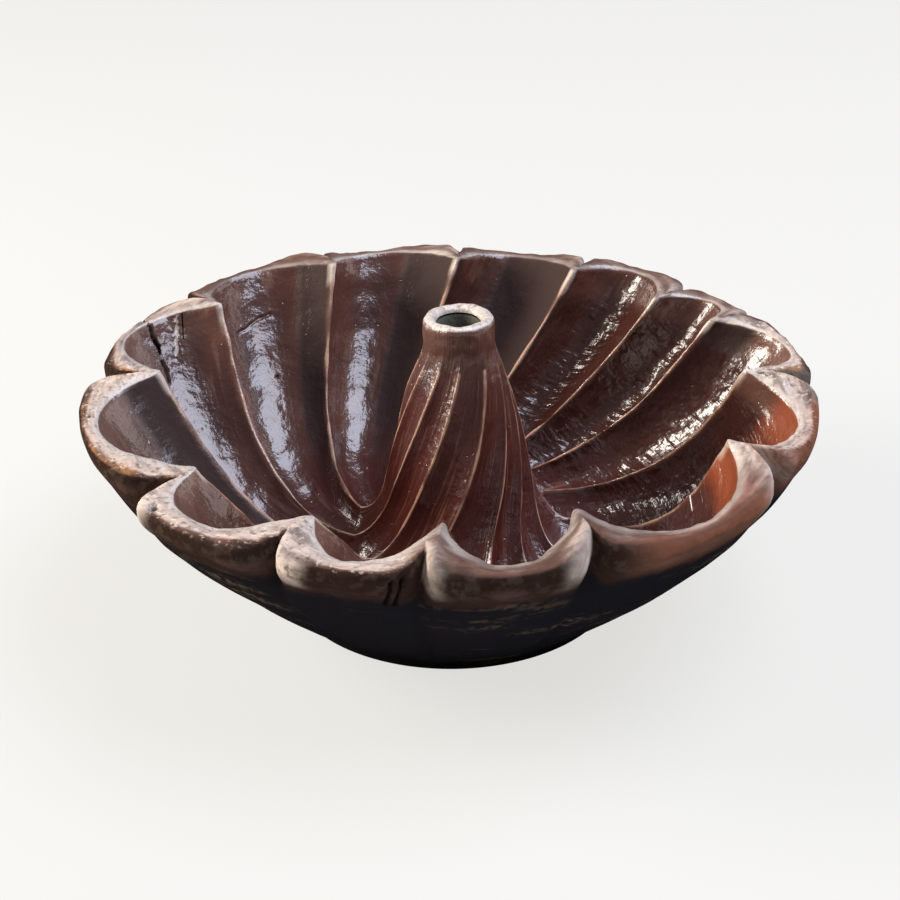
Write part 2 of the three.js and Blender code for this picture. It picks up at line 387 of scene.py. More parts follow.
class ThrownPiece(ABC):
    """A clay piece that is thrown as a ring and then pressed into its shape."""

    piece_name: str
    node: str
    slot: str
    columns: int
    splits: int = 4  # columns that each spun step is split into
    marks: tuple[Mark, ...] = ()
    mark_phases: float = 0.3  # lobes on each side of a mark that are looked at
    mark_shares: float = 0.9  # share of its zone on each side of it that is looked at
    mark_margin: float = 2.0  # millimetres beside it that get a finer mesh
    mark_cuts: int = 3  # cuts through each edge of that mesh
    mark_bottom: float = 0.2  # share of its half width that is flat at the bottom
    mark_least: float = 0.05  # least half width, in millimetres
    probe: float = 0.01  # step for measuring the surface, in phases and shares

    @abstractmethod
    def section(self) -> list[Spot]:
        """Lists the spots of the closed section, in order."""

    @abstractmethod
    def pressed(self, spot: Spot, phase: float) -> Vector:
        """Says where a spot of the section lies, in millimetres from the foot of the axis."""

    @abstractmethod
    def traces(self, spot: Spot, phase: float) -> dict[Trace, float]:
        """Says what the finishes need to know about a spot."""

    def unevenness(self, spot: Spot, point: Vector, flow: Vector) -> float:
        """Height of the clay's unevenness.

        Args:
            spot: spot of the section.
            point: its place, in millimetres.
            flow: its place round and along the flutes, in millimetres.

        Returns:
            How far the clay stands out, in millimetres.
        """
        return sum(lumps.at(point) for lumps in WALL_LUMPS)

    def sharp_spots(self) -> list[Spot]:
        """Spots where the section turns a sharp corner."""
        return []

    def material_index(self, spot: Spot) -> int:
        """Which of the piece's materials a spot takes."""
        return 0

    def throw(self, axis: Vector) -> Mesh:
        """Draws the section once and spins it round the axis.

        Args:
            axis: foot of the axis, in metres.

        Returns:
            The plain ring, whose vertices carry their stations.
        """
        ring = bmesh.new()
        station = ring.verts.layers.float.new("station")
        corners = []
        for spot in self.section():
            place = self.pressed(spot, 0.0)
            radius = math.hypot(place.x, place.y)
            corner = ring.verts.new(axis + Vector((radius, 0.0, place.z)) * MM)
            corner[station] = spot.station
            corners.append(corner)
        edges = [ring.edges.new((a, b)) for a, b in zip(corners, corners[1:] + corners[:1])]
        bmesh.ops.spin(ring, geom=corners + edges, cent=axis, axis=(0, 0, 1), angle=2 * math.pi,
                       steps=self.columns // self.splits, use_merge=True)
        around = [e for e in ring.edges if abs(e.verts[0][station] - e.verts[1][station]) < SAME_STATION]
        bmesh.ops.subdivide_edges(ring, edges=around, cuts=self.splits - 1, use_grid_fill=True)
        bmesh.ops.remove_doubles(ring, verts=ring.verts, dist=MERGE_DISTANCE)
        bmesh.ops.recalc_face_normals(ring, faces=ring.faces)
        return ring

    def press(self, ring: Mesh, axis: Vector) -> None:
        """Moves each vertex of the plain ring to its pressed place and notes the traces there.

        Args:
            ring: the thrown ring.
            axis: foot of the axis, in metres.
        """
        station = ring.verts.layers.float["station"]
        flow = ring.verts.layers.float_vector.new(Trace.FLOW.value)
        layers = {t: ring.verts.layers.float.new(t.value) for t in Trace if t is not Trace.FLOW}
        for vert in ring.verts:
            turn = math.atan2(vert.co.y - axis.y, vert.co.x - axis.x)
            phase = round(turn / (2 * math.pi) * self.columns) % self.columns / self.columns * LOBES
            spot = Spot.read(vert[station])
            place = self.pressed(spot, phase)
            vert.co = axis + place * MM
            for trace, value in self.traces(spot, phase).items():
                vert[layers[trace]] = value
            around = (FLOW_RADIUS * math.cos(turn), FLOW_RADIUS * math.sin(turn))
            vert[flow] = Vector((*around, place.length)) * MM
        ring.normal_update()

    def knead(self, ring: Mesh) -> None:
        """Gives the clay its hand-worked unevenness."""
        station = ring.verts.layers.float["station"]
        flow = ring.verts.layers.float_vector[Trace.FLOW.value]
        for vert in ring.verts:
            height = self.unevenness(Spot.read(vert[station]), vert.co / MM, vert[flow] / MM)
            vert.co += vert.normal * height * MM
        ring.normal_update()

    def scale(self, mark: Mark) -> Pair:
        """Measures the surface at the start of a mark.

        Args:
            mark: the mark.

        Returns:
            Millimetres in a whole phase and in the whole zone.
        """
        phase, share = mark.path[0]
        step = self.probe if share < 0.5 else -self.probe
        here = self.pressed(Spot(mark.zone, share), phase)
        across = self.pressed(Spot(mark.zone, share), phase + self.probe)
        along = self.pressed(Spot(mark.zone, share + step), phase)
        return (across - here).length / self.probe, (along - here).length / self.probe

    def score(self, ring: Mesh, mark: Mark) -> None:
        """Cuts a mark into the clay, in a finer mesh along its path.

        Args:
            ring: the kneaded ring.
            mark: the mark.
        """
        station = ring.verts.layers.float["station"]
        flow = ring.verts.layers.float_vector[Trace.FLOW.value]
        scar = ring.verts.layers.float[Trace.SCAR.value]
        phases, shares = zip(*mark.path)
        middle = Spot(mark.zone, (min(shares) + max(shares)) / 2).station
        reach = (max(shares) - min(shares)) / 2 + self.mark_shares
        scale = self.scale(mark)

        def gap(vert: bmesh.types.BMVert) -> float:
            """Distance of a vertex from the mark's path, or endless far away from it."""
            if abs(vert[station] - middle) > reach:
                return math.inf
            spot = Spot.read(vert[station])
            phase = math.atan2(vert[flow].y, vert[flow].x) / (2 * math.pi) * LOBES % LOBES
            near = min(phases) - self.mark_phases < phase < max(phases) + self.mark_phases
            return mark.gap(phase, spot.share, scale) if near and spot.zone is mark.zone else math.inf

        beside = {vert for vert in ring.verts if gap(vert) < mark.width + self.mark_margin}
        edges = [edge for edge in ring.edges if beside.issuperset(edge.verts)]
        bmesh.ops.subdivide_edges(ring, edges=edges, cuts=self.mark_cuts, use_grid_fill=True)
        ring.normal_update()
        moves = []
        for vert in ring.verts:
            distance = gap(vert)
            if distance < 2 * mark.width:
                half = mark.width / 2 * (1 + mark.ragged * RAGGED_EDGE.at(vert.co / MM))
                cut = 1 - ease(self.mark_bottom, 1.0, distance / max(half, self.mark_least))
                moves.append((vert, vert.normal * cut * mark.depth * MM))
                if cut > 0:
                    vert[scar] = cut * mark.scar
        for vert, move in moves:
            vert.co -= move
        ring.normal_update()

    def build(self, axis: Vector, materials: list[bpy.types.Material]) -> None:
        """Throws, presses and finishes the piece, which rides on the frame in place of its CAD node.

        Args:
            axis: foot of the axis, in metres.
            materials: the finishes that material_index chooses from.
        """
        ring = self.throw(axis)
        self.press(ring, axis)
        self.knead(ring)
        for mark in self.marks:
            self.score(ring, mark)
        station = ring.verts.layers.float["station"]
        sharp = {round(spot.station, 4) for spot in self.sharp_spots()}
        for edge in ring.edges:
            ends = {round(vert[station], 4) for vert in edge.verts}
            edge.smooth = not (len(ends) == 1 and ends <= sharp)
        for face in ring.faces:
            face.smooth = True
            face.material_index = max(self.material_index(Spot.read(vert[station])) for vert in face.verts)
        mesh = bpy.data.meshes.new(self.piece_name)
        ring.to_mesh(mesh)
        ring.free()
        for material in materials:
            mesh.materials.append(material)
        piece = show(self.piece_name, mesh)
        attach(piece, "root")
        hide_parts(self.node)
        log.info("%s: %d faces", self.piece_name, len(mesh.polygons))


@dataclass
class FlutedBowl(ThrownPiece):
    """The wide bowl with its swirling flutes and pinched rim."""

    flutes: Flutes
    seam_radius: float
    floor_height: float
    foot_radius: float
    tip_radius: float = 107.5
    tip_height: float = 87.5
    rim_flute: float = 19.5  # depth of a flute at the rim
    lip_drop: float = 6.0  # how far the lip dips between two tips
    lip_width: float = 8.0
    lip_round: float = 0.8  # height of the lip's crown above its inner edge
    lip_fall: float = 2.5  # how far the lip rolls down to its outer edge
    lip_square: float = 0.55  # below 1, a flatter lip with a tighter outer corner
    lip_crown: float = 0.5  # below 1, a blunter crown
    rib_rounding: Pair = (0.05, 0.1)  # bluntness of the ribs at the floor and at the rim
    rib_curve: float = 2.1  # above 1, the ribs rise late on their way out
    rib_own: int = 3  # the more, the closer to the rim a rib's own reach and lift show
    drift_grow: float = 0.4  # share of the way down from the rim in which a rib's drift grows
    flute_curve: float = 2.3
    flute_own: int = 4  # the more, the closer to the rim a lobe's own roundness shows
    groove_fade: float = 22.0  # depth at which the groove outside a rib ends
    groove_curve: float = 1.5
    neck: float = 1.0  # depth of the hollow under the lip
    neck_ends: Pair = (6.5, 20.0)  # how far below the lip it starts and ends
    neck_edges: Pair = (3.5, 10.0)  # how softly it does so
    lobe_fade: Pair = (0.0, 0.3)  # shares of the way down between which the lobes even out
    outer_curve: float = 1.35
    lean: float = 3.0  # how far the wall stands to the left of the chimney's axis
    valley_height: float = 24.5
    floor_flute: float = 8.0
    inside_length: float = 150.0  # length of the inside, true near the rim, where the finishes read it
    outside_length: float = 100.0
    glaze_end: float = 0.5  # share of the way over the lip at which the glaze ends
    crest_width: float = 0.5  # share of a lobe in which a rib's crest fades
    seam_fade: float = 0.15  # share of the way out in which the unevenness grows
    lumps_start: float = 0.95  # share of the way out at which the lip's own lumps start
    lumps_end: float = 0.5  # share of the way over the lip at which they start to fade
    ring_spacing: float = 0.8  # below 1, the rings inside crowd towards the rim
    inside_rings: int = 76
    lip_rings: int = 14
    outside_rings: int = 56
    underside_rings: int = 5

    piece_name = "fluted_bowl_clay"
    node = "fluted_bowl"
    slot = "glazed_earthenware"
    columns = LOBES * 40
    marks = MARKS

    @property
    def lip_radius(self) -> float:
        """Outer radius of the rim between two tips."""
        return self.tip_radius + self.rim_flute + self.lip_width

    @property
    def lip_length(self) -> float:
        """Way over the lip, from its inner edge to the outside."""
        return self.lip_width + self.lip_fall

    @property
    def lip_height(self) -> float:
        """Height of the rim between two tips, under its rounding."""
        return self.tip_height - self.lip_drop

    def section(self) -> list[Spot]:
        """Lists the spots of the closed section, in order."""
        return [*spread(Zone.INSIDE, self.inside_rings, self.ring_spacing),
                *spread(Zone.LIP, self.lip_rings)[1:-1], *spread(Zone.OUTSIDE, self.outside_rings),
                *spread(Zone.UNDERSIDE, self.underside_rings)[1:], Spot(Zone.SEAM, 0.5)]

    def sharp_spots(self) -> list[Spot]:
        """Spots where the section turns a sharp corner."""
        return [Spot(Zone.INSIDE, 0.0), Spot(Zone.OUTSIDE, 1.0), Spot(Zone.UNDERSIDE, 1.0)]

    def material_index(self, spot: Spot) -> int:
        """Which of the piece's materials a spot takes: the glaze ends half way over the lip."""
        if spot.zone is Zone.LIP:
            return 1 if self.lip_turn(spot.share)[0] > self.glaze_end else 0
        return 1 if spot.zone in (Zone.OUTSIDE, Zone.UNDERSIDE) else 0

    def polar(self, radius: float, bearing: float, height: float, lean: float) -> Vector:
        """Place of a radius, a bearing in degrees and a height, with its share of the wall's lean."""
        angle = math.radians(bearing)
        return Vector((radius * math.cos(angle) - self.lean * lean, radius * math.sin(angle), height))

    def inside(self, share: float, phase: float) -> tuple[float, float, float, float]:
        """Inside of the bowl, from the floor seam to the rim.

        Args:
            share: share of the way from the seam to the rim.
            phase: place round the mould.

        Returns:
            Radius, bearing, height and share of the lean.
        """
        before, after, bearing, across = self.flutes.lobe(phase)
        blend = ease(0, 1, across)
        power = mix(self.flutes.floor_power, before.lobe_power, share**self.flute_own)
        trough = self.flutes.trough(across, mix(*self.rib_rounding, share**2), power)
        near_rim = share**self.rib_own
        tip_radius = self.tip_radius + mix(before.reach, after.reach, blend) * near_rim
        rib_radius = mix(self.seam_radius, tip_radius, share)
        tip_height = self.tip_height + mix(before.lift, after.lift, blend) * near_rim
        rib_height = mix(self.valley_height, tip_height, share**self.rib_curve)
        rim_radius = self.tip_radius + self.rim_flute + before.lobe_reach * near_rim
        flute_radius = mix(self.seam_radius, rim_radius, share)
        rim_height = self.lip_height + before.lobe_lift * near_rim
        flute_height = mix(self.valley_height - self.floor_flute, rim_height, share**self.flute_curve)
        turn = self.flutes.swirl * math.log(self.tip_radius / mix(self.seam_radius, self.tip_radius, share))
        drift = mix(before.drift, after.drift, blend) * ease(0.0, self.drift_grow, 1 - share)
        bearing += math.degrees(turn) + drift
        height = mix(rib_height, flute_height, trough)
        lean = trough * clamp((height - self.valley_height) / (self.tip_height - self.valley_height))
        return mix(rib_radius, flute_radius, trough), bearing, height, lean

    def outside(self, share: float, phase: float) -> tuple[float, float, float, float]:
        """Outside of the bowl, from the rim to the foot.

        Args:
            share: share of the way from the rim down to the foot.
            phase: place round the mould.

        Returns:
            Radius, bearing, height and share of the lean.
        """
        _, _, bearing, _ = self.flutes.lobe(phase)
        before, after, across = self.flutes.outer_lobe(bearing)
        blend = ease(0, 1, across)
        width = mix(before.groove, after.groove, blend)
        pinch = mix(before.pinch, after.pinch, blend)
        rise = math.sin(math.pi * across)
        trough = rise / math.hypot(rise, width) * math.hypot(1, width)
        tip_height = self.tip_height + mix(before.lift, after.lift, blend)
        top = mix(tip_height, self.lip_height + before.lobe_lift, trough) - self.lip_fall
        height = mix(top, self.floor_height, share)
        bulge = 1 - share**self.outer_curve
        groove = (1 - trough) * clamp(1 - (top - height) / self.groove_fade) ** self.groove_curve
        reach = mix(before.reach, after.reach, blend) * groove
        reach += before.lobe_wall * trough * (1 - ease(*self.lobe_fade, share))
        reach -= self.neck * span(self.neck_ends, self.neck_edges, top - height)
        radius = mix(self.foot_radius, self.lip_radius, bulge) - self.rim_flute * pinch * groove + reach
        return radius, bearing, height, 1 - groove

    def lip_turn(self, share: float) -> Pair:
        """How far out and how far up the lip is at a share of the way over it, each from 0 to 1."""
        turn = math.pi / 2 * share
        return math.sin(turn) ** self.lip_square, max(math.cos(turn), 0.0) ** self.lip_square

    def pressed(self, spot: Spot, phase: float) -> Vector:
        """Says where a spot of the section lies, in millimetres from the foot of the axis."""
        if spot.zone is Zone.INSIDE:
            return self.polar(*self.inside(spot.share, phase))
        if spot.zone is Zone.OUTSIDE:
            return self.polar(*self.outside(spot.share, phase))
        if spot.zone is Zone.LIP:
            inner = self.polar(*self.inside(1.0, phase))
            outer = self.polar(*self.outside(0.0, phase))
            out, up = self.lip_turn(spot.share)
            place = inner.lerp(outer, out)
            crown = math.sin(math.pi * spot.share) ** self.lip_crown
            place.z = mix(outer.z, inner.z, up) + self.lip_round * crown
            return place
        radius, bearing, height, _ = self.inside(0.0, phase)
        foot = self.polar(*self.outside(1.0, phase))
        below = self.polar(radius, bearing, self.floor_height, 0.0)
        if spot.zone is Zone.UNDERSIDE:
            return foot.lerp(below, spot.share)
        return below.lerp(self.polar(radius, bearing, height, 0.0), spot.share)

    def traces(self, spot: Spot, phase: float) -> dict[Trace, float]:
        """Says what the finishes need to know about a spot."""
        _, _, bearing, across = self.flutes.lobe(phase)
        crest = self.flutes.groove_rub_and_highlight(bearing)
        inside = spot.zone is Zone.INSIDE
        if inside:
            crest = self.flutes.crest(across, self.crest_width)
            lip, reach = self.inside_length * (spot.share - 1), spot.share
        elif spot.zone is Zone.LIP:
            out, up = self.lip_turn(spot.share)
            lip, reach = self.lip_width * out + self.lip_fall * (1 - up), 1.0
        elif spot.zone is Zone.OUTSIDE:
            lip, reach = self.lip_length + self.outside_length * spot.share, 1 - spot.share
        else:
            lip, reach = self.lip_length + self.outside_length, 0.0
        return {
            Trace.LIP: lip,
            Trace.CREST: crest,
            Trace.REACH: reach,
            Trace.THIN_GLAZE_AND_SUNLIT: self.flutes.thin_glaze_and_sunlit(phase, reach),
            Trace.DENTS_AND_SHADE: self.flutes.dents_and_shade(phase, reach) if inside else 0.0,
            Trace.MATT_SHADE: self.flutes.matt_shade(phase, reach) if inside else 0.0,
            Trace.RUB_AND_PAINTED_LIGHT: self.flutes.rub_and_painted_light(phase),
        }

    def unevenness(self, spot: Spot, point: Vector, flow: Vector) -> float:
        """Height of the clay's unevenness: finger ripples across the flutes inside, lumps on the lip."""
        if spot.zone in (Zone.UNDERSIDE, Zone.SEAM):
            return 0.0
        height = super().unevenness(spot, point, flow)
        on_lip = 0.0
        if spot.zone is Zone.INSIDE:
            for ripples, flattening in FINGER_RIPPLES:
                height += ripples.at(Vector((flow.x, flow.y, flattening * flow.z)))
            height *= ease(0.0, self.seam_fade, spot.share)
            on_lip = ease(self.lumps_start, 1.0, spot.share)
        elif spot.zone is Zone.LIP:
            on_lip = 1 - ease(self.lumps_end, 1.0, spot.share)
        return height + on_lip * (LIP_SWELL.at(point) + LIP_LUMPS.at(point))


@dataclass
class Chimney(ThrownPiece):
    """The hollow ridged cone in the middle of the bowl."""

    flutes: Flutes
    bowl: FlutedBowl
    top_height: float
    collar_height: float = 9.5
    collar_radius: float = 13.1
    collar_round: float = 3.2
    bore_radius: float = 8.0
    foot_width: float = 31.9  # radius of the cone at the seam, without its flare
    cone_curve: float = 0.58  # below 1, the cone swells on its way up
    cone_blend: float = 0.06  # share of the cone that blends into the collar
    crown_power: float = 0.8  # below 1, the collar's top is blunter
    foot_wall: float = 13.5
    flare_height: float = 18.0
    seam_overlap: float = 0.2  # how far the flare reaches past the seam
    seam_gap: float = 0.3
    ridge_depth: float = 4.5
    ridge_power: float = 0.7  # below 1, the hollows between the ridges are round
    ridge_fade: float = 0.7  # below 1, the ridges stay deep until late on their way up
    ridge_rounding: Pair = (0.05, 0.15)  # their bluntness at the floor and at the collar
    ridge_turn: float = 58.0  # turn of a ridge from the floor to the collar, in degrees
    drift_end: float = 0.6  # share of the way up at which the ribs' drift is gone
    cone_length: float = 88.0  # from the floor seam to the collar's edge
    top_start: float = -1.5  # lip trace at the collar's edge
    top_rise: float = 6.0  # how much it grows over the collar's top
    top_end: float = 1.0  # its most there
    bore_trace: float = 300.0  # lip trace of the bore, which no place on the bowl reaches
    rub_widths: Pair = (0.45, 3.0)  # width of the rubbed ridges at the floor and at the collar
    rub_ends: Pair = (0.84, 0.93)  # shares of the way up between which they end
    rub_and_painted_light: float = 0.9
    most_reach: float = 0.5  # reach trace at the collar
    lumps_start: float = 0.9  # share of the way up at which the lip's lumps start
    seam_fade: float = 0.15  # share of the way up in which the unevenness grows
    ring_spacing: float = 1.6  # above 1, the rings crowd towards the floor
    cone_rings: int = 96
    top_rings: int = 14
    bore_rings: int = 30

    piece_name = "chimney_clay"
    node = "chimney"
    slot = "glazed_earthenware"
    columns = LOBES * 24

    @property
    def ridge_top(self) -> float:
        """Height where the ridges end and the plain collar starts."""
        return self.top_height - self.collar_height

    def section(self) -> list[Spot]:
        """Lists the spots of the closed section, in order."""
        return [*spread(Zone.OUTSIDE, self.cone_rings, self.ring_spacing),
                *spread(Zone.LIP, self.top_rings)[1:-1], *spread(Zone.INSIDE, self.bore_rings),
                *spread(Zone.UNDERSIDE, 2)[1:], Spot(Zone.SEAM, 0.5)]

    def sharp_spots(self) -> list[Spot]:
        """Spots where the section turns a sharp corner."""
        return [Spot(Zone.OUTSIDE, 0.0), Spot(Zone.INSIDE, 1.0), Spot(Zone.UNDERSIDE, 1.0)]

    def cone(self, share: float, phase: float) -> Vector:
        """Ridged outside of the chimney.

        Args:
            share: share of the way from the floor seam to the top of the collar.
            phase: place round the mould.

        Returns:
            The place, in millimetres from the foot of the axis.
        """
        before, after, bearing, across = self.flutes.lobe(phase)
        height = mix(self.bowl.valley_height, self.top_height - self.collar_round, share)
        climb = clamp((height - self.bowl.valley_height) / (self.ridge_top - self.bowl.valley_height))
        low = clamp(1 - (height - self.bowl.valley_height) / self.flare_height)
        flare = 1 - math.sqrt(1 - low**2)
        trough = self.flutes.trough(across, mix(*self.ridge_rounding, climb), self.ridge_power)
        ridge = self.ridge_depth * (1 - climb) ** self.ridge_fade * (1 - flare)
        soft = self.cone_blend**self.cone_curve
        swell = (math.hypot(1 - climb, self.cone_blend) ** self.cone_curve - soft) / (1 - soft)
        radius = self.collar_radius + (self.foot_width - self.collar_radius) * swell - ridge * trough
        radius += (self.bowl.seam_radius + self.seam_overlap - self.foot_width) * flare
        seam_turn = self.flutes.swirl * math.log(self.bowl.tip_radius / self.bowl.seam_radius)
        drift = mix(before.drift, after.drift, ease(0, 1, across)) * (1 - ease(0.0, self.drift_end, climb))
        angle = math.radians(bearing + drift + self.ridge_turn * climb) + seam_turn
        valley = self.flutes.trough(across, self.ridge_rounding[0], self.flutes.floor_power)
        height -= self.bowl.floor_flute * flare * valley
        return Vector((radius * math.cos(angle), radius * math.sin(angle), height))

    def pressed(self, spot: Spot, phase: float) -> Vector:
        """Says where a spot of the section lies, in millimetres from the foot of the axis."""
        if spot.zone is Zone.OUTSIDE:
            return self.cone(spot.share, phase)
        floor = self.bowl.floor_height
        if spot.zone is Zone.SEAM:
            rim = self.cone(0.0, phase)
            return rim.lerp(Vector((rim.x, rim.y, floor)), spot.share)
        hollow_radius = self.bowl.seam_radius - self.foot_wall
        if spot.zone is Zone.LIP:
            turn = math.pi * spot.share
            radius = mix(self.collar_radius, self.bore_radius, (1 - math.cos(turn)) / 2)
            height = self.top_height - self.collar_round * (1 - math.sin(turn) ** self.crown_power)
        elif spot.zone is Zone.INSIDE:
            height = mix(self.top_height - self.collar_round, floor, spot.share)
            radius = mix(hollow_radius, self.bore_radius, clamp((height - floor) / (self.ridge_top - floor)))
        else:
            height = floor
            radius = mix(hollow_radius, self.bowl.seam_radius - self.seam_gap, spot.share)
        collar = self.cone(1.0, phase)
        around = Vector((collar.x, collar.y, 0.0)).normalized()
        return around * radius + Vector((0, 0, height))

    def traces(self, spot: Spot, phase: float) -> dict[Trace, float]:
        """Says what the finishes need to know about a spot."""
        _, _, _, across = self.flutes.lobe(phase)
        lip, crest, reach = self.bore_trace, 0.0, self.most_reach
        if spot.zone is Zone.OUTSIDE:
            lip = self.cone_length * (spot.share - 1) + self.top_start
            width = mix(*self.rub_widths, spot.share**2)
            crest = self.flutes.crest(across, width) * (1 - ease(*self.rub_ends, spot.share))
            reach = spot.share * self.most_reach
        elif spot.zone is Zone.LIP:
            lip = min(self.top_rise * spot.share + self.top_start, self.top_end)
        return {Trace.LIP: lip, Trace.CREST: crest, Trace.REACH: reach, Trace.RUB_AND_PAINTED_LIGHT: self.rub_and_painted_light}

    def material_index(self, spot: Spot) -> int:
        """Which of the piece's materials a spot takes: the bore and the hollow are sooted."""
        return 1 if spot.zone in (Zone.INSIDE, Zone.UNDERSIDE) else 0

    def unevenness(self, spot: Spot, point: Vector, flow: Vector) -> float:
        """Height of the clay's unevenness, which fades towards the floor seam."""
        if spot.zone not in (Zone.OUTSIDE, Zone.LIP):
            return 0.0
        share = spot.share if spot.zone is Zone.OUTSIDE else 1.0
        height = super().unevenness(spot, point, flow) * ease(0.0, self.seam_fade, share)
        return height + ease(self.lumps_start, 1.0, share) * LIP_LUMPS.at(point)


@dataclass
class ClayRing(ThrownPiece):
    """A plain roll of clay pressed under the floor: the luting coil or the foot ring."""

    piece_name: str
    node: str
    middle_radius: float
    half_width: float
    low: float
    high: float
    flatness: float  # 2 is a round roll, and more is squarer
    sink: float = 0.0  # how much of its roll is pressed flat underneath
    lean: float = 0.0  # how far it stands to the left of the chimney's axis
    taper: float = 0.0  # how much its outside draws in for each millimetre downwards
    steps: int = 28
    lip_trace: float = 120.0  # as far from the lip as the bowl's foot
    sole_edge: float = 1.5  # height above the sole at which the unevenness is full

    slot = "sooted_earthenware"
    columns = 180

    def section(self) -> list[Spot]:
        """Lists the spots of the closed section, in order."""
        return spread(Zone.OUTSIDE, self.steps)[:-1]

    def pressed(self, spot: Spot, phase: float) -> Vector:
        """Says where a spot of the section lies, in millimetres from the foot of the axis."""
        turn = 2 * math.pi * spot.share
        power = 2 / self.flatness
        out = math.copysign(abs(math.cos(turn)) ** power, math.cos(turn))
        up = math.copysign(abs(math.sin(turn)) ** power, math.sin(turn))
        angle = 2 * math.pi * phase / LOBES
        height = max(mix(self.low - self.sink, self.high, (1 + up) / 2), self.low)
        radius = self.middle_radius + self.half_width * out - self.taper * (self.high - height) * clamp(out)
        return Vector((radius * math.cos(angle) - self.lean, radius * math.sin(angle), height))

    def traces(self, spot: Spot, phase: float) -> dict[Trace, float]:
        """Says what the finishes need to know about a spot."""
        return {Trace.LIP: self.lip_trace}

    def unevenness(self, spot: Spot, point: Vector, flow: Vector) -> float:
        """Height of the clay's unevenness, which leaves the sole flat."""
        return ROLL_LUMPS.at(point) * ease(self.low, self.low + self.sole_edge, point.z)


def linear(hex_colour: str) -> tuple[float, float, float, float]:
    """Turns an sRGB hex colour into linear values."""
    parts = (int(hex_colour[i:i + 2], 16) / 255 for i in (1, 3, 5))
    return (*(p / 12.92 if p <= 0.04045 else ((p + 0.055) / 1.055) ** 2.4 for p in parts), 1.0)


def add(tree: Tree, kind: str, inputs: dict | None = None, **settings) -> bpy.types.Node:
    """Adds a node with its settings, and sets or links its inputs.

    Args:
        tree: node tree that gets the node.
        kind: node type.
        inputs: value or output socket for each input, by name or number.
        settings: the node's own settings.

    Returns:
        The new node.
    """
    made = tree.nodes.new(kind)
    for name, value in settings.items():
        setattr(made, name, value)
    for name, value in (inputs or {}).items():
        if isinstance(value, Socket):
            tree.links.new(value, made.inputs[name])
        else:
            made.inputs[name].default_value = value
    return made


def new_material(name: str) -> bpy.types.Material:
    """Makes a material with an empty node tree."""
    made = bpy.data.materials.new(name)
    made.use_nodes = True
    made.node_tree.nodes.clear()
    return made


def show(name: str, data: bpy.types.ID) -> bpy.types.Object:
    """Puts a mesh, lamp or camera into the scene."""
    made = bpy.data.objects.new(name, data)
    bpy.context.scene.collection.objects.link(made)
    return made


class Pattern(Enum):
    """How a pattern lies on the surface."""

    LUMPS = "noise as it comes"
    BRUSHED = "noise drawn out along the flutes"
    WIPED = "noise drawn out round the wall"
    RUBBED = "noise drawn out across the flutes and round the lip"
    SPECKS = "separate round specks"


LUMPS, BRUSHED, WIPED, RUBBED, SPECKS = Pattern
STRETCH = {BRUSHED: (1.0, 1.0, 0.12), WIPED: (0.15, 0.15, 1.0), RUBBED: (0.3, 0.3, 1.0)}
NOISE_WIDTH = 2.0  # grains in one unit of the noise
NOISE_DETAIL = 3.0
NOISE_ROUGHNESS = 0.55
SPECK_SPACING = 5.0  # grains from speck to speck
SPECK_EDGE = (0.04, 0.12)  # where a speck starts and ends, as shares of that spacing


@dataclass(frozen=True)
class Cover:
    """Where a layer shows: it starts where the trace is at low and is full where it is at high.

    Args:
        trace: the trace that is read, or None where the pattern alone decides.
        low: value at which the layer starts.
        high: value at which it is full.
        pattern: pattern that breaks up the edge.
        grain: size of that pattern, in millimetres.
        ragged: how far the pattern moves the edge, in the trace's own unit.
    """

    trace: Trace | None
    low: float
    high: float
    pattern: Pattern = LUMPS
    grain: float = 6.0
    ragged: float = 0.0


# The covers that the finishes use most: by the lip, by its rubbing and painted light, by the matt painted
# shade, or in patches.
on_lip = partial(Cover, Trace.LIP)
if_rubbed_or_lit = partial(Cover, Trace.RUB_AND_PAINTED_LIGHT)
if_matt_shade = partial(Cover, Trace.MATT_SHADE)
patches = partial(Cover, None, ragged=1.0)


@dataclass(frozen=True)
class Layer:
    """One colour of a finish, with its roughness and the covers that all have to hold where it shows."""

    colour: str
    roughness: float
    covers: tuple[Cover, ...]
    strength: float = 1.0


@dataclass(frozen=True)
class Relief:
    """Fine unevenness, too small to model: its pattern, size and depth in millimetres, and where it lies."""

    pattern: Pattern
    grain: float
    depth: float
    trace: Trace | None = None


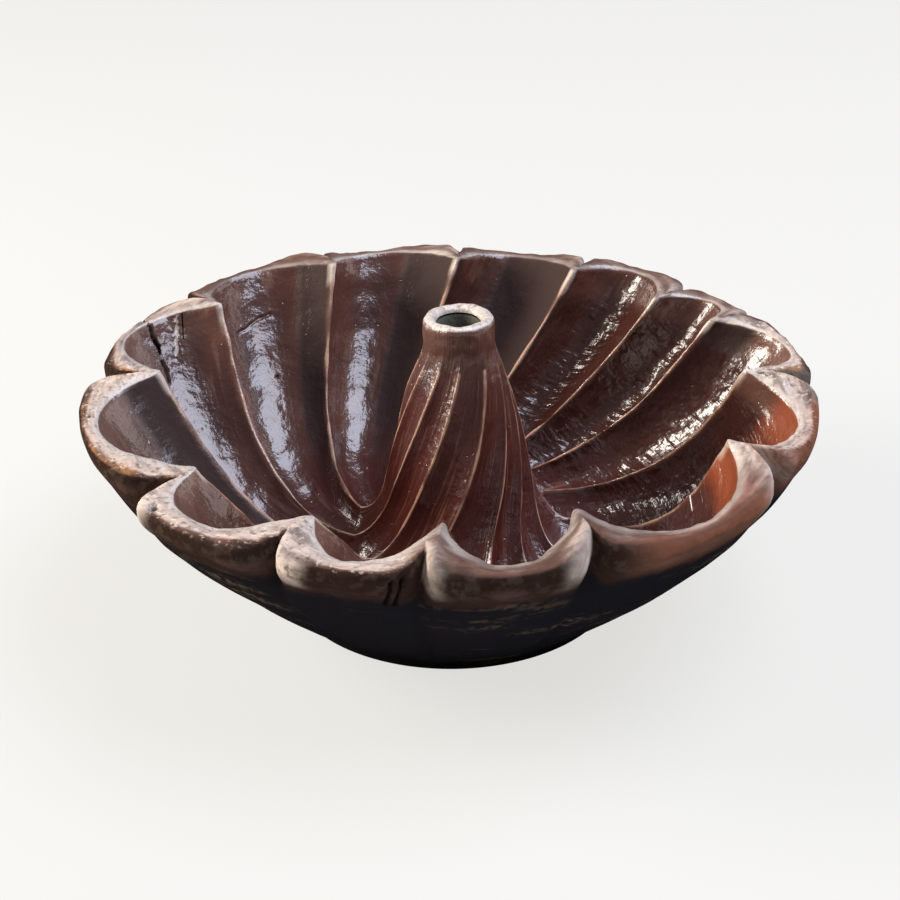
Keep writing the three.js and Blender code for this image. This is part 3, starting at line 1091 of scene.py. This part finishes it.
@dataclass(frozen=True)
class Finish:
    """A fired surface: a ground colour with layers over it, and its fine relief."""

    name: str
    colour: str
    roughness: float
    specular: float
    layers: tuple[Layer, ...]
    reliefs: tuple[Relief, ...]
    coat: float = 0.0
    coat_roughness: float = 0.1

    def pattern(self, tree: Tree, pattern: Pattern, grain: float) -> Socket:
        """Draws one pattern.

        Args:
            tree: node tree of the material.
            pattern: how it lies on the surface.
            grain: its size in millimetres.

        Returns:
            The socket with its value, from 0 to 1.
        """
        if pattern in (BRUSHED, RUBBED):
            place = add(tree, "ShaderNodeAttribute", attribute_name=Trace.FLOW.value).outputs["Vector"]
        else:
            place = add(tree, "ShaderNodeTexCoord").outputs["Object"]
        if pattern in STRETCH:
            place = add(tree, "ShaderNodeMapping", {"Vector": place, "Scale": STRETCH[pattern]}).outputs[0]
        size = 1 / (grain * MM)
        if pattern is SPECKS:
            cells = add(tree, "ShaderNodeTexVoronoi", {"Vector": place, "Scale": size / SPECK_SPACING})
            low, high = SPECK_EDGE
            return add(tree, "ShaderNodeMapRange",
                       {"Value": cells.outputs["Distance"], "From Min": low, "From Max": high, "To Min": 1.0,
                        "To Max": 0.0}).outputs[0]
        return add(tree, "ShaderNodeTexNoise",
                   {"Vector": place, "Scale": size / NOISE_WIDTH, "Detail": NOISE_DETAIL,
                    "Roughness": NOISE_ROUGHNESS}).outputs[0]

    def cover(self, tree: Tree, cover: Cover) -> Socket:
        """Works out where a cover holds.

        Args:
            tree: node tree of the material.
            cover: the cover.

        Returns:
            The socket with its value, from 0 to 1.
        """
        value: Socket | float = 0.0
        if cover.trace is not None:
            value = add(tree, "ShaderNodeAttribute", attribute_name=cover.trace.value).outputs["Fac"]
        if cover.ragged:
            shift = self.pattern(tree, cover.pattern, cover.grain)
            centred = add(tree, "ShaderNodeMath", {0: shift, 1: 0.5}, operation="SUBTRACT").outputs[0]
            value = add(tree, "ShaderNodeMath", {0: centred, 1: cover.ragged, 2: value},
                        operation="MULTIPLY_ADD").outputs[0]
        return add(tree, "ShaderNodeMapRange",
                   {"Value": value, "From Min": cover.low, "From Max": cover.high},
                   interpolation_type="SMOOTHSTEP").outputs[0]

    def material(self) -> bpy.types.Material:
        """Builds the material: colour and roughness from the layers, bump from the reliefs."""
        made = new_material(self.name)
        tree = made.node_tree
        colour: Socket | tuple = linear(self.colour)
        roughness: Socket | float = self.roughness
        for layer in self.layers:
            shown: Socket | float = layer.strength
            for cover in layer.covers:
                held = self.cover(tree, cover)
                shown = add(tree, "ShaderNodeMath", {0: shown, 1: held}, operation="MULTIPLY").outputs[0]
            colour = add(tree, "ShaderNodeMix", {0: shown, 6: colour, 7: linear(layer.colour)},
                         data_type="RGBA").outputs[2]
            roughness = add(tree, "ShaderNodeMix", {0: shown, 2: roughness, 3: layer.roughness}).outputs[0]
        height: Socket | float = 0.0
        for relief in self.reliefs:
            value = self.pattern(tree, relief.pattern, relief.grain)
            if relief.trace is not None:
                share = add(tree, "ShaderNodeAttribute", attribute_name=relief.trace.value).outputs["Fac"]
                value = add(tree, "ShaderNodeMath", {0: value, 1: share}, operation="MULTIPLY").outputs[0]
            height = add(tree, "ShaderNodeMath", {0: value, 1: relief.depth, 2: height},
                         operation="MULTIPLY_ADD").outputs[0]
        bump = add(tree, "ShaderNodeBump", {"Height": height, "Distance": MM, "Strength": 1.0})
        matt_shade = add(tree, "ShaderNodeAttribute", attribute_name=Trace.MATT_SHADE.value).outputs["Fac"]
        coat = add(tree, "ShaderNodeMath", {0: matt_shade, 1: -self.coat, 2: self.coat},
                   operation="MULTIPLY_ADD").outputs[0]
        shader = add(tree, "ShaderNodeBsdfPrincipled",
                     {"Base Color": colour, "Roughness": roughness, "Normal": bump.outputs[0],
                      "Specular IOR Level": self.specular, "Coat Weight": coat,
                      "Coat Roughness": self.coat_roughness, "Coat Normal": bump.outputs[0]})
        add(tree, "ShaderNodeOutputMaterial", {"Surface": shader.outputs[0]})
        return made


# The lip, where the glaze was wiped off and hands have rubbed the bare buff clay for years. It is pale and
# streaky on top, ochre in patches along its outer edge, and ends there in a ragged edge against the soot.
# How pale each lobe's lip is holds painted light as well as rubbing, and the pale side of each groove outside
# is partly a painted highlight.
RUBBED_LIP = (
    Layer("#62463b", 0.5, (on_lip(-0.8, 0.3, LUMPS, 3.0, 1.2), on_lip(8.0, 6.6, RUBBED, 2.2, 4.0))),
    # redder lip on the lobes whose glaze ran thin and whose sunlight is painted
    Layer("#85533f", 0.5, (on_lip(0.8, 1.6), on_lip(13.0, 9.0, LUMPS, 4.0, 5.0),
          Cover(Trace.THIN_GLAZE_AND_SUNLIT, 0.2, 0.8)), 0.7),
    # the pale side of each groove outside: rubbed clay, and partly a painted highlight
    Layer("#d2c0b2", 0.5, (Cover(Trace.CREST, 0.3, 0.7, LUMPS, 5.0, 0.4), on_lip(3.0, 5.0),
          on_lip(24.0, 10.0, LUMPS, 4.0, 8.0)), 0.85),
    Layer("#c4b0a2", 0.5, (on_lip(-0.2, 0.6, LUMPS, 2.0, 0.8), on_lip(6.8, 5.2, RUBBED, 2.2, 4.5),
          if_rubbed_or_lit(0.3, 0.9, LUMPS, 6.0, 0.7)), 0.9),
    Layer("#ddcfc2", 0.45, (on_lip(-0.4, 0.2, LUMPS, 2.0, 0.8), on_lip(3.0, 1.0, RUBBED, 2.0, 4.0),
          if_rubbed_or_lit(0.0, 0.9, LUMPS, 9.0, 0.8)), 0.75),
    Layer("#a5764c", 0.5, (on_lip(4.5, 6.0, RUBBED, 2.0, 2.0), on_lip(8.6, 7.4, LUMPS, 3.0, 3.0),
          if_rubbed_or_lit(0.5, 0.9), patches(0.0, 0.14, RUBBED, 4.0)), 0.7),
    Layer("#54433b", 0.5, (on_lip(0.8, 2.0), on_lip(9.0, 7.0), patches(0.0, 0.16, RUBBED, 1.8)), 0.6),
    Layer("#3a2e28", 0.5, (on_lip(-0.3, 0.6), on_lip(30.0, 18.0), patches(-0.04, 0.22, RUBBED, 0.8)), 0.4),
    Layer("#33281f", 0.6, (on_lip(-0.1, 0.9), on_lip(30.0, 18.0), if_rubbed_or_lit(0.5, 0.9),
          patches(0.02, 0.2, LUMPS, 1.1)), 0.6),
    Layer("#e6dacd", 0.45, (on_lip(-0.3, 0.3), on_lip(9.0, 6.0), if_rubbed_or_lit(0.5, 0.9),
          patches(0.04, 0.2, LUMPS, 0.9)), 0.5),
)

# Cracks show the dirt of years, and where the glaze broke away the pale body shows.
SCARS = (
    Layer("#0e0b0b", 0.7, (Cover(Trace.SCAR, 0.15, 0.5),)),
    Layer("#c9bcae", 0.6, (Cover(Trace.SCAR, -0.4, -0.8, LUMPS, 1.5, 1.0),), 0.85),
)

# Treacle-brown glaze, poured over red clay and brushed out. It is a worn gloss, dark and red where it lies
# thick in the flutes and thin and tan on the crests. Painted light lies on it as well: a pool of orange
# sunlight near the rim of the right-front lobes, painted shade on the right-hand flutes, and dark painted
# shade where it is matt.
TREACLE_GLAZE = Finish(
    name="treacle_glazed_earthenware", colour="#5c382d", roughness=0.3, specular=0.5, coat=0.8,
    coat_roughness=0.12,
    layers=(
        Layer("#43241b", 0.3, (patches(-0.08, 0.12, LUMPS, 22.0),), 0.75),
        Layer("#331c16", 0.32, (patches(0.02, 0.2, BRUSHED, 5.0),), 0.6),
        # a paler band under the rim of the rubbed lobes, partly rubbed wear and partly painted light
        Layer("#7d5a4a", 0.35, (on_lip(-18.0, -3.0, LUMPS, 8.0, 16.0), if_matt_shade(0.6, 0.0),
              if_rubbed_or_lit(0.4, 0.9)), 0.5),
        # painted shade: dark, rough glaze on flanks that take no light
        Layer("#2c160f", 0.9, (if_matt_shade(0.1, 0.7, BRUSHED, 4.0, 0.2),), 0.9),
        Layer("#44120b", 0.28, (Cover(Trace.REACH, 0.62, 0.15, LUMPS, 14.0, 0.3),), 0.85),
        Layer("#8a6250", 0.42, (patches(0.06, 0.2, BRUSHED, 1.6), if_matt_shade(0.5, 0.0)), 0.4),
        # painted shade: the right-hand flutes darkened where their walls turn away from the light
        Layer("#38150d", 0.3, (Cover(Trace.DENTS_AND_SHADE, 0.2, 0.8, LUMPS, 12.0, 0.5),), 0.75),
        # thin orange glaze, which also stands in for a painted pool of sunlight near the rim
        Layer("#9a4b28", 0.3, (Cover(Trace.THIN_GLAZE_AND_SUNLIT, 0.3, 0.9, LUMPS, 9.0, 0.9),), 0.8),
        Layer("#96664f", 0.4, (Cover(Trace.CREST, 0.93, 1.0, LUMPS, 9.0, 0.1),), 0.4),
        Layer("#c79d82", 0.4, (Cover(Trace.CREST, 0.96, 0.985, LUMPS, 5.0, 0.06),
              patches(-0.16, 0.06, LUMPS, 10.0)), 0.75),
        Layer("#d9c8b6", 0.5, (Cover(Trace.CREST, 0.92, 0.97, BRUSHED, 2.5, 0.1),
              Cover(Trace.REACH, 0.93, 0.98, LUMPS, 5.0, 0.1)), 0.7),
        *RUBBED_LIP, *SCARS,
    ),
    reliefs=(Relief(LUMPS, 4.5, 0.6), Relief(RUBBED, 2.6, 1.6, Trace.DENTS_AND_SHADE),
             Relief(LUMPS, 6.5, 1.8, Trace.DENTS_AND_SHADE), Relief(LUMPS, 1.7, 0.36), Relief(BRUSHED, 1.4, 0.3),
             Relief(SPECKS, 1.0, -0.15)),
)

# The same clay outside, where the oven blackened it. A band of brown glaze hangs under the lip, and the
# soot below it is dull and wiped thin in streaks.
OVEN_SOOT = Finish(
    name="sooted_earthenware", colour="#18171a", roughness=0.6, specular=0.0,
    layers=(
        Layer("#4f4334", 0.6, (patches(-0.02, 0.14, WIPED, 3.5), patches(-0.12, 0.16, LUMPS, 1.5),
              patches(-0.04, 0.12, LUMPS, 26.0)), 0.8),
        Layer("#77766c", 0.9, (on_lip(200.0, 250.0),), 0.8),
        Layer("#2e201b", 0.5, (on_lip(29.0, 21.0, LUMPS, 9.0, 26.0),), 0.9),
        Layer("#4d4238", 0.6, (on_lip(22.0, 10.0, LUMPS, 5.0, 12.0), patches(0.0, 0.14, LUMPS, 2.2)), 0.5),
        Layer("#54403a", 0.5, (on_lip(26.0, 13.0, LUMPS, 6.0, 14.0), on_lip(11.0, 16.0),
              patches(0.0, 0.14, LUMPS, 9.0)), 0.6),
        # lighter brown under the lip of the same lobes: painted sunlight as well as thin glaze
        Layer("#6a4a3c", 0.5, (on_lip(30.0, 14.0, LUMPS, 7.0, 16.0), Cover(Trace.THIN_GLAZE_AND_SUNLIT, 0.1, 0.6)), 0.7),
        *RUBBED_LIP, *SCARS,
    ),
    reliefs=(Relief(LUMPS, 2.5, 0.7), Relief(LUMPS, 1.0, 0.35), Relief(WIPED, 1.5, 0.25)),
)

# Matt pale paint of a studio floor.
STUDIO_FLOOR_COLOUR = "#f3f2ee"


@dataclass(frozen=True)
class Softbox:
    """A soft studio lamp that points at the mould.

    Args:
        name: what it does.
        bearing: where it stands, in degrees seen from above.
        rise: its height above the horizon, in degrees.
        distance: how far off it stands, in metres.
        size: its width and height in metres.
        power: its power in watts.
        colour: its colour.
    """

    name: str
    bearing: float
    rise: float
    distance: float
    size: Pair
    power: float
    colour: str

    def hang(self) -> None:
        """Adds the lamp to the scene."""
        lamp = bpy.data.lights.new(self.name, "AREA")
        lamp.shape = "RECTANGLE"
        lamp.size, lamp.size_y = self.size
        lamp.energy = self.power
        lamp.color = linear(self.colour)[:3]
        stand = show(self.name, lamp)
        bearing = math.radians(self.bearing)
        rise = math.radians(self.rise)
        flat = math.cos(rise)
        away = Vector((flat * math.cos(bearing), flat * math.sin(bearing), math.sin(rise)))
        stand.location = away * self.distance
        stand.rotation_euler = away.to_track_quat("Z", "Y").to_euler()


@dataclass(frozen=True)
class Studio:
    """The floor, the lamps and the camera."""

    floor_half: float = 12.0  # metres
    shadow_share: float = 0.16  # how much of the floor's look is its own lighting
    floor_glow: float = 0.94  # how bright the rest of it is, so that the two together give its colour
    camera_distance: float = 750.0
    camera_elevation: float = 25.5  # where the camera stands, in degrees
    camera_pitch: float = 27.63  # how it is turned, in degrees
    camera_yaw: float = -0.31
    camera_roll: float = -0.81
    camera_target: float = 87.5  # height on the chimney's axis
    lens: float = 82.2
    world_colour: str = "#e4e8f0"
    world_strength: float = 0.15
    lamps: tuple[Softbox, ...] = (
        Softbox("sky_window", 2.0, 62.0, 1.6, (1.4, 1.1), 35.0, "#e2eaff"),
        Softbox("left_window", 178.0, 27.0, 1.3, (0.6, 0.75), 29.0, "#fff6ea"),
        Softbox("right_wall", 24.0, 18.0, 1.5, (1.2, 0.6), 3.5, "#fff2ee"),
    )

    def lay_floor(self) -> None:
        """Lays the pale floor, which shows a soft share of the shadow."""
        bm = bmesh.new()
        bmesh.ops.create_grid(bm, x_segments=1, y_segments=1, size=self.floor_half)
        mesh = bpy.data.meshes.new("studio_floor")
        bm.to_mesh(mesh)
        bm.free()
        material = new_material("matt_floor_paint")
        tree = material.node_tree
        colour = linear(STUDIO_FLOOR_COLOUR)
        matt = add(tree, "ShaderNodeBsdfDiffuse", {"Color": colour})
        glow = add(tree, "ShaderNodeEmission", {"Color": colour, "Strength": self.floor_glow})
        path = add(tree, "ShaderNodeLightPath")
        seen: Socket = path.outputs["Is Camera Ray"]
        for ray in ("Is Glossy Ray", "Is Transmission Ray"):
            either = {0: seen, 1: path.outputs[ray]}
            seen = add(tree, "ShaderNodeMath", either, operation="MAXIMUM").outputs[0]
        share = add(tree, "ShaderNodeMath", {0: seen, 1: 1 - self.shadow_share}, operation="MULTIPLY")
        blend = add(tree, "ShaderNodeMixShader",
                    {0: share.outputs[0], 1: matt.outputs[0], 2: glow.outputs[0]})
        add(tree, "ShaderNodeOutputMaterial", {"Surface": blend.outputs[0]})
        mesh.materials.append(material)
        show("studio_floor", mesh)

    def light(self) -> None:
        """Hangs the lamps and sets the dim room around them."""
        for lamp in self.lamps:
            lamp.hang()
        world = bpy.data.worlds.new("studio_room")
        world.use_nodes = True
        background = world.node_tree.nodes["Background"]
        background.inputs["Color"].default_value = linear(self.world_colour)
        background.inputs["Strength"].default_value = self.world_strength
        bpy.context.scene.world = world

    def set_camera(self, axis: Vector) -> None:
        """Stands the camera where the photograph was taken from.

        Args:
            axis: foot of the chimney's axis, in metres.
        """
        rise = math.radians(self.camera_elevation)
        back = Vector((0.0, -math.cos(rise), math.sin(rise))) * self.camera_distance
        place = axis + (Vector((0.0, 0.0, self.camera_target)) + back) * MM
        yaw = Matrix.Rotation(math.radians(-self.camera_yaw), 4, "Z")
        pitch = Matrix.Rotation(math.radians(90 - self.camera_pitch), 4, "X")
        roll = Matrix.Rotation(math.radians(self.camera_roll), 4, "Z")
        data = bpy.data.cameras.new("photo_camera")
        data.lens = self.lens
        camera = show("photo_camera", data)
        camera.matrix_world = Matrix.Translation(place) @ yaw @ pitch @ roll
        bpy.context.scene.camera = camera


COIL_HALF = 5.0  # half the width of the luting coil
FOOT_HALF = 7.5  # half the width of the foot ring
FOOT_SPREAD = 3.5  # how much further out the foot stands than the CAD model's
FOOT_PRESSED = 4.0  # how far the foot ring is pressed up into the floor


def main() -> None:
    """Builds the mould piece by piece around the CAD frame, then the studio."""
    logging.basicConfig(level=logging.INFO)
    bpy.context.scene.view_settings.view_transform = "Standard"
    low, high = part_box("chimney")
    axis = Vector(((low.x + high.x) / 2, (low.y + high.y) / 2, 0.0))
    coil_low, coil_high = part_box("luting_coil")
    foot_low, foot_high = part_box("foot_ring")
    coil_radius = (coil_high.x - coil_low.x) / 2 / MM - COIL_HALF
    foot_radius = (foot_high.x - foot_low.x) / 2 / MM + FOOT_SPREAD
    flutes = Flutes()
    glaze = TREACLE_GLAZE.material()
    soot = OVEN_SOOT.material()
    bowl = FlutedBowl(flutes, seam_radius=coil_radius, floor_height=low.z / MM, foot_radius=foot_radius)
    bowl.build(axis, [glaze, soot])
    Chimney(flutes, bowl, top_height=high.z / MM).build(axis, [glaze, soot])
    coil = ClayRing("luting_coil_clay", "luting_coil", coil_radius, COIL_HALF, coil_low.z / MM,
                    coil_high.z / MM, flatness=2.2)
    coil.build(axis, [soot])
    foot = ClayRing("foot_ring_clay", "foot_ring", foot_radius - FOOT_HALF, FOOT_HALF, foot_low.z / MM,
                    foot_high.z / MM + FOOT_PRESSED, flatness=5.0, sink=0.8, lean=bowl.lean, taper=0.4)
    foot.build(axis, [soot])
    studio = Studio()
    studio.lay_floor()
    studio.light()
    studio.set_camera(axis)


if __name__ == "__main__":
    main()
